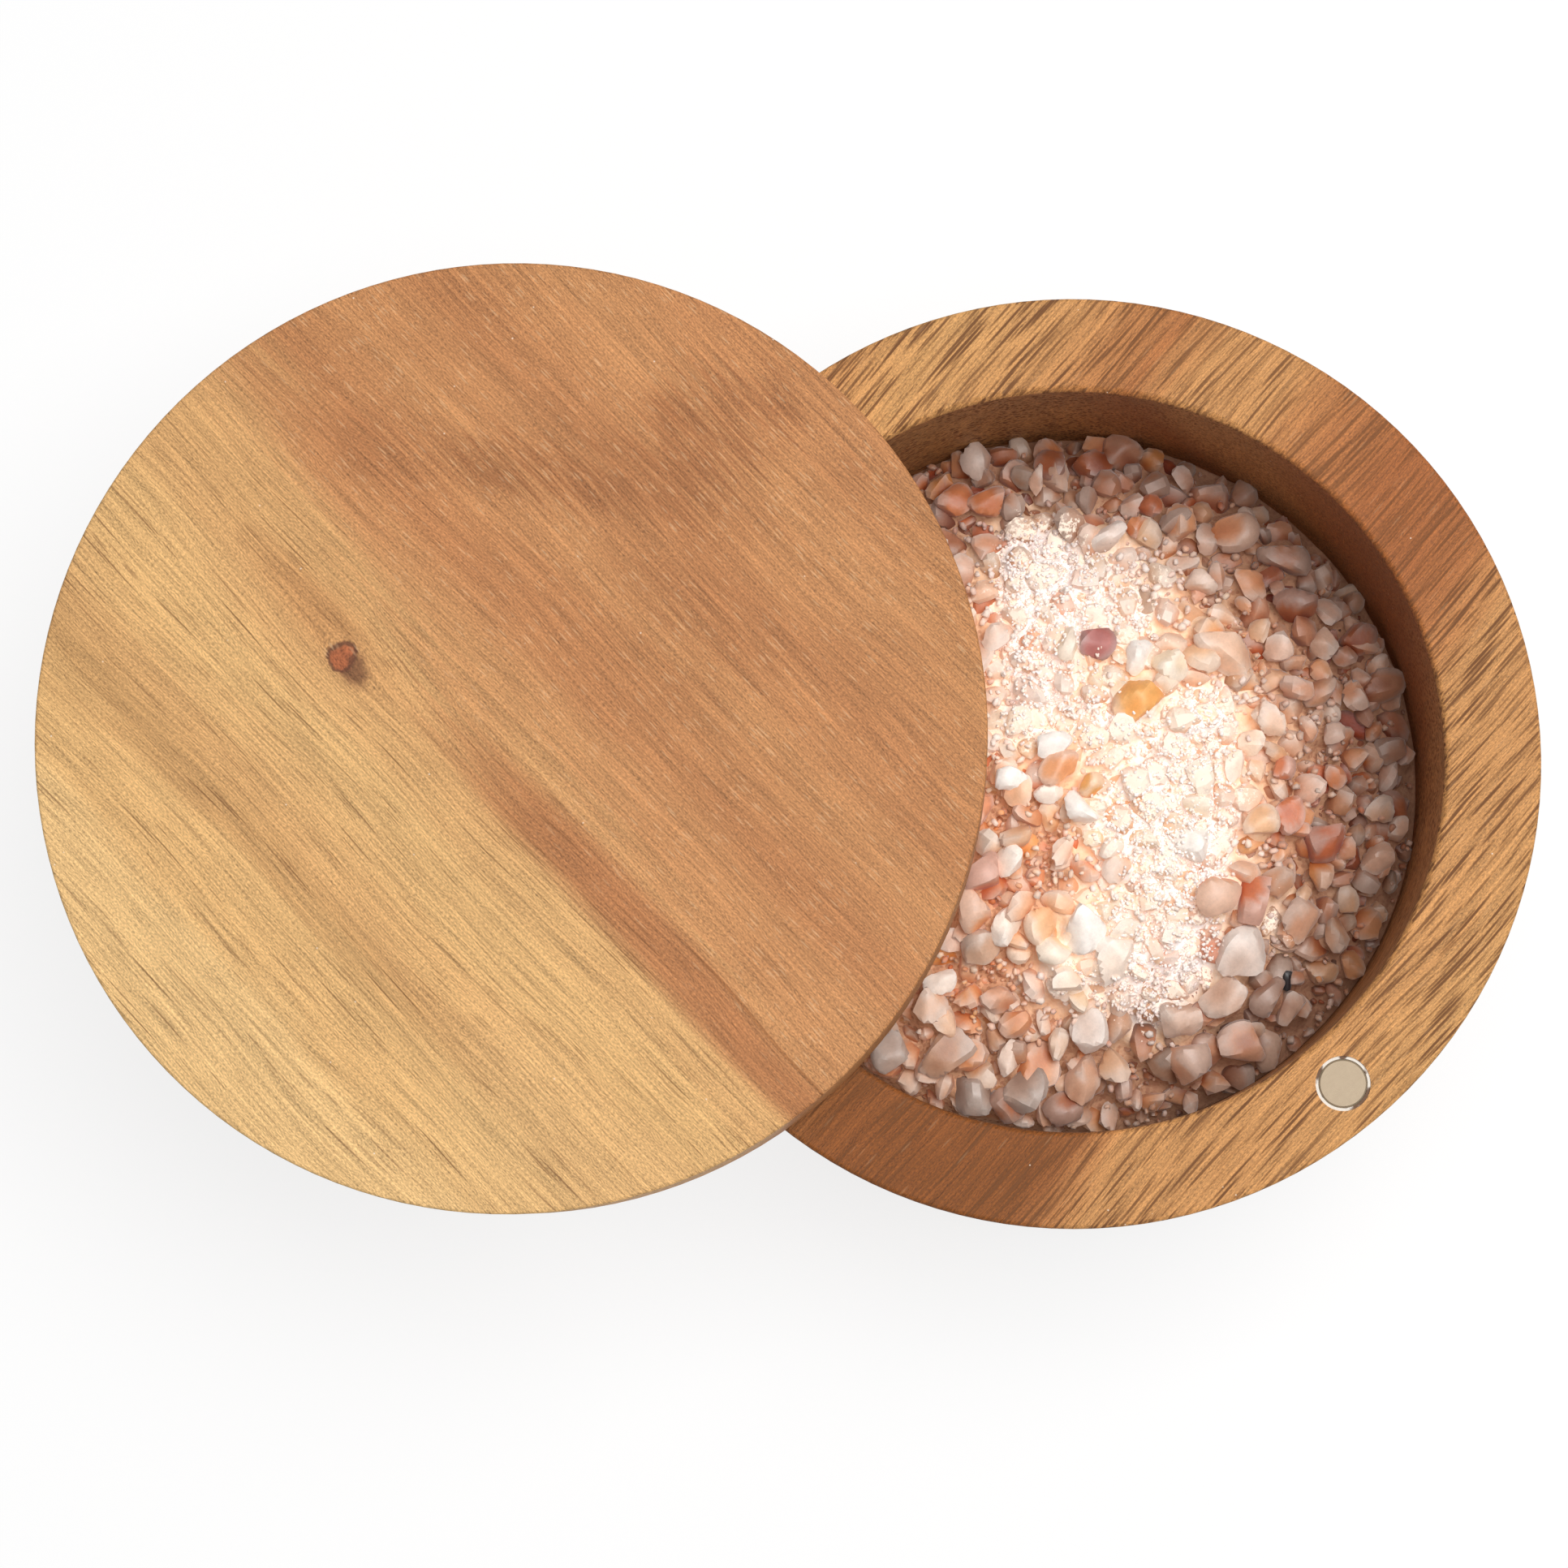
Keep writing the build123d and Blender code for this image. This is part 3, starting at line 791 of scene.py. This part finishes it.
def turned(vectors, heading, lean, roll):
    """Vectors of each crystal rolled about x, leaned about y and then turned about z."""
    place = list(np.moveaxis(vectors, 2, 0))
    for angle, a, b in ((roll, 1, 2), (lean, 2, 0), (heading, 0, 1)):
        cos, sin = np.cos(angle)[:, None], np.sin(angle)[:, None]
        place[a], place[b] = place[a] * cos - place[b] * sin, place[a] * sin + place[b] * cos
    return np.stack(place, -1)


def new_piece(name, points, faces, material, attributes, crisp=False):
    """A smooth mesh, with crisp edges where asked, that rides on the box; points in millimetres."""
    mesh = bpy.data.meshes.new(name)
    mesh.from_pydata((points * MM).tolist(), [], faces)
    mesh.shade_smooth()
    if crisp:
        mesh.set_sharp_from_angle(angle=CRISP_EDGE)
    for title, values in attributes.items():
        if values.ndim == 2:
            layer = mesh.attributes.new(title, "FLOAT_COLOR", "POINT")
            layer.data.foreach_set("color", np.column_stack([values, np.ones(len(values))]).ravel())
        else:
            mesh.attributes.new(title, "FLOAT", "POINT").data.foreach_set("value", values)
    mesh.materials.append(material)
    piece = linked(name, mesh)
    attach(piece, "box")
    return piece


def crystals(name, chance, rows, tints, meshing, material, heap_surface, crisp=True, dusting=1.0):
    """One mesh of crystals, their far corners paler and their feet deeper in colour.

    The paler corners are partly frost from wear, partly painted light through thin corners. The dust
    on a point is the drift's strength there, times how far the point faces up, times dusting and a
    share of the crystal's own. A point below the heap's softened surface has its tint raised to a
    power, a painted shade for light that reaches it only through other crystals.
    """
    grid, planes, edge = meshing
    directions = stone_grid(*grid)
    x, y, z, *half = rows[:, :6].T
    half = np.stack(half, -1)[:, None, :]
    heading, lean, roll = rows[:, 6:9].T
    radius = crystal_shapes(chance, len(rows), directions, planes, edge)
    body = directions[None] * radius[..., None] * half
    points = turned(body, heading, lean, roll) + np.stack([x, y, z], -1)[:, None, :]
    outward = turned(directions[None] / half, heading, lean, roll)
    upward = outward[..., 2] / np.linalg.norm(outward, axis=2)
    own_share = chance.uniform(LEAST_DUST, 1.0, len(rows))[:, None] * dusting
    dust = gathered(DRIFTS, points[..., 0], points[..., 1]) * smooth_step(upward, 0.1, 0.9) * own_share
    # Paler far corners: partly frost from wear, partly painted light through thin corners.
    worn_and_glowing = smooth_step(radius, SCUFF_GLOW_FROM, SCUFF_GLOW_TO)[..., None] * SCUFF_AND_GLOW
    colours = mixed(tints[:, None, :], np.array(SNOW) * tints.max(axis=1)[:, None, None], worn_and_glowing)
    depth = heap_surface(points[..., 0], points[..., 1]) - points[..., 2]
    # Painted shade: the colour deepens below the heap's softened surface.
    colours = colours ** (1.0 + PAINTED_FOOT_SHADE * smooth_step(depth, FOOT_FROM, FOOT_TO)[..., None])
    return new_piece(name, points.reshape(-1, 3), shells(*grid, len(rows)), material,
                     {"tint": colours.reshape(-1, 3), "dust": dust.ravel()}, crisp)


# Painted shade of the wall on the salt: strongest towards SHADY_HEADING and between these two
# distances out. WALL_SHADE is the share of red, green and blue that it takes from the colour about
# a crystal, OWN_SHADE what it takes from the crystal's own colour.
SHADY_HEADING = math.radians(-12.0)
SHADY_FROM, SHADY_TO = 17.0, 34.0
WALL_SHADE = np.array([0.48, 0.67, 0.75])
OWN_SHADE = np.array([0.47, 0.58, 0.63])
SALT_TONE = np.array([0.91, 0.84, 0.80])
PALEST = 0.95

# The even glow of each stone's own colour that stands in for light wandering through the heap, and
# rock salt's refraction.
INNER_LIGHT = 0.13
ROCK_SALT = 1.54


def painted_wall_shade(x, y):
    """How much the painted shade of the wall darkens the salt at x, y, from 0 in the middle to 1."""
    far_side = smooth_step(np.cos(np.arctan2(y, x) - SHADY_HEADING), -1.6, 0.3)
    return smooth_step(np.hypot(x, y), SHADY_FROM, SHADY_TO) * far_side


def tints_for(chance, x, y):
    """A colour for each crystal: partly its own, partly that of the salt about it.

    White and cream gather in the drifts, and red and orange in their patches. Stones against the
    wall are darker, most of all away from the lid: painted shade of the wall.
    """
    drift = gathered(DRIFTS, x, y)
    red = gathered(RED_PATCHES, x, y)
    painted_shade = painted_wall_shade(x, y)
    palette = np.array([SNOW, MILK, CREAM, BLUSH, PEACH, AMBER, SALMON, CORAL, FAWN, RUST, SMOKE])
    # By the wall, smoky and brown stones are picked more often, part of the painted shade.
    shares = np.stack([
        0.10 + 0.25 * drift + 0.12 * painted_shade, 0.20 + 0.20 * drift, 0.12 + 0.35 * drift,
        0.30 + 0.0 * x, 0.16 + 0.10 * drift, 0.03 + 0.08 * red, 0.05 + 0.30 * red, 0.03 + 0.30 * red,
        0.03 + 0.30 * painted_shade, 0.01 + 0.10 * painted_shade, 0.02 + 0.16 * painted_shade], -1)
    ladder = np.cumsum(shares / shares.sum(axis=1, keepdims=True), axis=1)
    pick = (chance.random(len(x))[:, None] > ladder).sum(axis=1)
    own = palette[np.minimum(pick, len(palette) - 1)]
    about = mixed(PEACH, SALMON, red[:, None] * 0.8)
    about = mixed(about, POWDER_CREAM, smooth_step(drift, 0.15, 0.70)[:, None])
    kept = (0.52 - 0.22 * drift + 0.22 * painted_shade)[:, None]
    # Painted shade by the wall on each crystal's own colour and on the colour about it.
    own = own * (1.0 - painted_shade[:, None] * OWN_SHADE)
    about = about * (1.0 - painted_shade[:, None] * WALL_SHADE)
    uneven = chance.uniform(0.90, 1.06, (len(x), 1)) * chance.uniform(0.97, 1.03, (len(x), 3))
    return np.clip(mixed(about, own, kept) * uneven * SALT_TONE, 0.0, PALEST)


def crystal_finish(name, clouding, roughness):
    """Frosted rock salt: each stone its own tint, clouded inside, with fine salt caught on top."""
    finish = Finish(name)
    place = finish.object_position()
    tint = finish.add("ShaderNodeAttribute", {"attribute_name": "tint"}, output="Color")
    dust = finish.add("ShaderNodeAttribute", {"attribute_name": "dust"}, output="Fac")
    cloud = finish.noise(place, (1.3, 1.3, 1.3), 3.0, 0.6)
    frost = finish.noise(place, (0.28, 0.28, 0.28), 3.0, 0.65, start=5.0)
    crumb = finish.noise(place, (0.45, 0.45, 0.45), 2.0, 0.6, start=13.0)
    colour = finish.scaled(tint, 1.0 + (cloud - 0.5) * 0.45 + (frost - 0.5) * 0.25)
    powder = finish.rise(dust + (crumb - 0.5) * 1.1, 0.42, 0.62)
    colour = finish.blend(powder * 0.9, colour, POWDER_CREAM)
    height = frost * 0.5 + powder * 0.5
    return finish.surface({
        "Base Color": colour, "Roughness": roughness + frost * 0.25 + powder * 0.3,
        "IOR": ROCK_SALT,
        "Emission Color": colour, "Emission Strength": INNER_LIGHT,
        "Subsurface Weight": clouding, "Subsurface Radius": (1.0, 0.90, 0.80), "Sheen Weight": 0.25,
        "Sheen Roughness": 0.4, "Subsurface Scale": 0.6 * MM}, height, 0.05 * MM)


def powder_finish():
    """Fine salt: grains about 0.4 mm across, white in the drifts, pinkish-brown crumbs in the gaps.

    Edges between grains are a little deeper in colour and gaps where the fine salt is thin are dark
    brown, both painted shade, and the salt by the shaded wall is darkened by painted shade too.
    """
    finish = Finish("salt_powder")
    place = finish.object_position()
    drift = finish.add("ShaderNodeAttribute", {"attribute_name": "dust"}, output="Fac")
    shade = finish.add("ShaderNodeAttribute", {"attribute_name": "shade"}, output="Fac")
    distance, chance = finish.cells(place, (0.42, 0.42, 0.42))
    patch = finish.noise(place, (2.6, 2.6, 2.6), 3.0, 0.6, start=3.0)
    fine = finish.noise(place, (0.2, 0.2, 0.2), 2.0, 0.6, start=9.0)
    thick = drift + (patch - 0.5) * 0.8
    colour = finish.ramp(thick, [
        (0.10, CRUMB_PINK), (0.34, CRUMB_PEACH), (0.62, POWDER_CREAM), (0.84, POWDER_WHITE)])
    # Painted shade: dark brown in some cells where the fine salt is thin, as in deep gaps.
    gap = finish.rise(chance, 0.3, 1.0) * finish.rise(thick, 0.4, 0.1)
    colour = finish.blend(gap, colour, GAP_SHADE)
    # Painted shade along the edges between grains.
    colour = finish.blend(finish.rise(distance, 0.35, 0.75) * 0.22, colour, POWDER_SHADE)
    colour = finish.scaled(colour, 1.0 + (chance - 0.5) * 0.08)
    # Painted shade by the wall, less where a drift is full.
    colour = finish.blend(shade * 0.75, colour, PAINTED_WALL_SHADOW)
    height = 1.0 - distance * distance * 1.4 + fine * 0.3
    return finish.surface({
        "Base Color": colour, "Roughness": 0.85 + fine * 0.1, "IOR": 1.5,
        "Emission Color": colour, "Emission Strength": INNER_LIGHT}, height, 0.04 * MM)


def soften(field, passes):
    """Each pass gives every cell the mean of itself and its four neighbours."""
    for _ in range(passes):
        field = (field + np.roll(field, 1, 0) + np.roll(field, -1, 0)
                 + np.roll(field, 1, 1) + np.roll(field, -1, 1)) / 5.0
    return field


# The fine salt lies BED_SINK below the softened heap, and DRIFT_RISE higher where a drift is full.
# A full drift hides DUST_HIDES of the painted shade by the wall.
BED_SINK = 0.85
DRIFT_RISE = 0.80
DUST_HIDES = 0.85
LUMPS_IN_DRIFT = 0.5
LUMPS = 0.12
BED_SPOKES = 380
BED_RINGS = 150
CLEAR_OF_WALL = 0.03


def bed_heights(heap, chance):
    """Top of the fine salt: lumpy and over most crystals in a drift, sunk between them elsewhere."""
    drift = gathered(DRIFTS, heap.x, heap.y)
    smooth = soften(heap.height, 24)
    lumps = soften(chance.normal(size=drift.shape), 12) * 2.0
    return smooth - BED_SINK + drift * (DRIFT_RISE + lumps * LUMPS_IN_DRIFT) + lumps * LUMPS


def sample(field, line, x, y):
    """The field's value at each x, y, straight-line between the four cells about it."""
    along = np.clip((x - line[0]) / HEAP_CELL, 0.0, len(line) - 1.001)
    aside = np.clip((y - line[0]) / HEAP_CELL, 0.0, len(line) - 1.001)
    i, j = along.astype(int), aside.astype(int)
    u, v = along - i, aside - j
    near = mixed(field[i, j], field[i + 1, j], u)
    far = mixed(field[i, j + 1], field[i + 1, j + 1], u)
    return mixed(near, far, v)


def salt_bed(line, heights, material):
    """The fine salt as one closed body.

    A profile is carried round the axis: out along the top, whose height is read from the bed's
    height map, down the wall, round the cavity's corner and in along the floor.
    """
    edge = CAVITY - CLEAR_OF_WALL
    turn = 2.0 * np.pi * np.arange(BED_SPOKES)[None, :] / BED_SPOKES
    out = edge * np.arange(1, BED_RINGS + 1)[:, None] / BED_RINGS
    x, y = out * np.cos(turn), out * np.sin(turn)
    top = np.stack([x, y, sample(heights, line, x, y)], -1)
    corner = np.radians(np.linspace(0.0, 90.0, 6))[:, None]
    side = edge - CORNER + CORNER * np.cos(corner)
    floor_z = salt_low.z / MM
    low = np.stack(np.broadcast_arrays(
        side * np.cos(turn), side * np.sin(turn), floor_z + CORNER - CORNER * np.sin(corner)), -1)
    crown = sample(heights, line, np.zeros(1), np.zeros(1))[0]
    points = np.vstack([top.reshape(-1, 3), low.reshape(-1, 3), (0.0, 0.0, crown), (0.0, 0.0, floor_z)])
    faces = shells(BED_SPOKES, BED_RINGS + len(corner))
    dust = gathered(DRIFTS, *points[:, :2].T)
    # Painted shade by the wall on the fine salt, which a full drift partly hides.
    shade = painted_wall_shade(*points[:, :2].T) * (1.0 - DUST_HIDES * dust)
    return new_piece("salt_bed", points, faces, material, {"dust": dust, "shade": shade})


# How bright the chosen stones are, how much the painted shade by the wall takes from them, and their
# dust.
CHOSEN_TONE, CHOSEN_SHADE, CHOSEN_DUSTING = 0.93, 0.85, 0.35
SEED = 11


def fewer_chips(x, y):
    """How welcome a chip is: always in the middle, seldom by the wall."""
    return 1.0 - 0.85 * smooth_step(np.hypot(x, y), 24.0, 33.0)


def grains_in_drifts(x, y):
    """How welcome a grain is: only where a drift is strong."""
    return smooth_step(gathered(DRIFTS, x, y), 0.48, 0.95)


def salt():
    """Pours the salt: crystals and stones, the chosen stones, chips, the fine bed and its grains."""
    chance = np.random.default_rng(SEED)
    heap = Heap()
    small = pour(heap, chance, *SMALL_CRYSTALS)
    stones = pour(heap, chance, *STONES)
    medium = pour(heap, chance, *CRYSTALS)
    chosen = place_chosen(heap, chance)
    chips = pour(heap, chance, *CHIPS, fewer_chips)
    bed_top = bed_heights(heap, chance)
    heap.height = np.maximum(heap.height, bed_top)
    grains = pour(heap, chance, *GRAINS, grains_in_drifts)
    softened = soften(heap.height, 30)

    def heap_surface(x, y):
        """The softened heap's height at x, y."""
        return sample(softened, heap.line, x, y)

    glowing = crystal_finish("rock_salt_stones", 0.12, 0.34)
    frosted = crystal_finish("rock_salt_crystals", 0.10, 0.38)
    fine = crystal_finish("rock_salt_grains", 0.0, 0.5)
    own = np.array([stone[5] for stone in CHOSEN_STONES])
    # Painted shade by the wall on the chosen stones.
    unlit = painted_wall_shade(*chosen[:, :2].T)[:, None] * WALL_SHADE
    crystals("salt_chosen_stones", chance, chosen, own * (CHOSEN_TONE - CHOSEN_SHADE * unlit),
             STONE_MESH, glowing, heap_surface, dusting=CHOSEN_DUSTING)
    for name, rows, meshing, finish in (
            ("salt_stones", stones, STONE_MESH, glowing),
            ("salt_crystals", medium, CRYSTAL_MESH, frosted),
            ("salt_small_crystals", small, SMALL_MESH, frosted)):
        tints = tints_for(chance, *rows[:, :2].T)
        crystals(name, chance, rows, tints, meshing, finish, heap_surface)
    share = gathered(DRIFTS, *chips[:, :2].T)[:, None] * 0.6
    tints = mixed(tints_for(chance, *chips[:, :2].T), POWDER_WHITE, share)
    crystals("salt_chips", chance, chips, tints, GRAIN_MESH, fine, heap_surface, crisp=False)
    share = 0.25 + 0.57 * smooth_step(gathered(DRIFTS, *grains[:, :2].T), 0.35, 0.95)[:, None]
    # Painted shade by the wall on the grains, less in the drifts.
    unlit = painted_wall_shade(*grains[:, :2].T)[:, None] * (1.0 - share) * WALL_SHADE
    tints = mixed(tints_for(chance, *grains[:, :2].T), POWDER_WHITE, share) * (1.0 - unlit)
    crystals("salt_grains", chance, grains, tints, GRAIN_MESH, fine, heap_surface, crisp=False)
    bed = salt_bed(heap.line, bed_top, powder_finish())
    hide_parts("salt_fill")


salt()


# -------------------- stage, light and camera

FLOOR_WHITE = (0.92, 0.92, 0.92)
FLOOR_TOOTH = (0.94, 0.94, 0.94)
FLOOR_HALF = 1.6
FLOOR_LIFT = 0.8
SKY = 0.30


def stage():
    """A wide flat pale floor under the box."""
    corners = [(x * FLOOR_HALF, y * FLOOR_HALF, 0.0) for x, y in ((-1, -1), (1, -1), (1, 1), (-1, 1))]
    mesh = bpy.data.meshes.new("floor")
    mesh.from_pydata(corners, [], [(0, 1, 2, 3)])
    floor = linked("floor", mesh)
    finish = Finish("floor_paper")
    place = finish.object_position()
    tooth = finish.noise(place, (1.2, 1.2, 1.2), 3.0)
    colour = finish.blend(tooth, FLOOR_WHITE, FLOOR_TOOTH)
    mesh.materials.append(finish.lifted(
        {"Base Color": colour, "Roughness": 0.9, "Specular IOR Level": 0.1}, FLOOR_LIFT))


def softbox(name, heading, height_angle, distance, size, power):
    """A square area lamp aimed at the rim, from a heading about +Z and an angle above the floor."""
    data = bpy.data.lights.new(name, "AREA")
    data.shape = "SQUARE"
    data.size = size
    data.energy = power
    lamp = linked(name, data)
    target = Vector((0.0, 0.0, tub_high.z))
    flat = math.cos(height_angle)
    away = Vector((flat * math.cos(heading), flat * math.sin(heading), math.sin(height_angle)))
    lamp.location = target + away * distance
    lamp.rotation_euler = away.to_track_quat("Z", "Y").to_euler()


def lighting():
    """A dim even sky, white where it is seen, and one large soft lamp high over the front."""
    sky = Finish("studio", "worlds")
    dim = sky.add("ShaderNodeBackground", {}, {"Strength": SKY})
    white = sky.add("ShaderNodeBackground")
    both = sky.add("ShaderNodeMixShader", {}, {0: sky.seen_directly(), 1: dim, 2: white})
    sky.add("ShaderNodeOutputWorld", {}, {"Surface": both})
    bpy.context.scene.world = sky.owner
    softbox("key", math.radians(-15.0), math.radians(75.0), 0.9, 0.55, 9.0)


CAMERA_PLACE = Vector((-36.72, -27.73, 482.26)) * MM
CAMERA_AIM = Vector((-24.31, 16.78, 50.0)) * MM
CAMERA_UP_HEADING = math.radians(50.55)
FRAME_WIDTH = 36.0
LENS = 97.08
NEAR = 0.01


def camera():
    """A long lens almost straight above the box, its upper edge towards CAMERA_UP_HEADING."""
    data = bpy.data.cameras.new("camera")
    data.sensor_width = FRAME_WIDTH
    data.lens = LENS
    data.clip_start = NEAR
    eye = linked("camera", data)
    back = (CAMERA_PLACE - CAMERA_AIM).normalized()
    up = Vector((math.cos(CAMERA_UP_HEADING), math.sin(CAMERA_UP_HEADING), 0.0))
    right = up.cross(back).normalized()
    up = back.cross(right)
    turn = Matrix((right, up, back)).transposed().to_4x4()
    eye.matrix_world = Matrix.Translation(CAMERA_PLACE) @ turn
    bpy.context.scene.camera = eye


stage()
lighting()
camera()
bpy.context.scene.view_settings.view_transform = "Standard"

# Light goes to and fro between the pale crystals many times.
bpy.context.scene.cycles.max_bounces = 24
bpy.context.scene.cycles.diffuse_bounces = 16
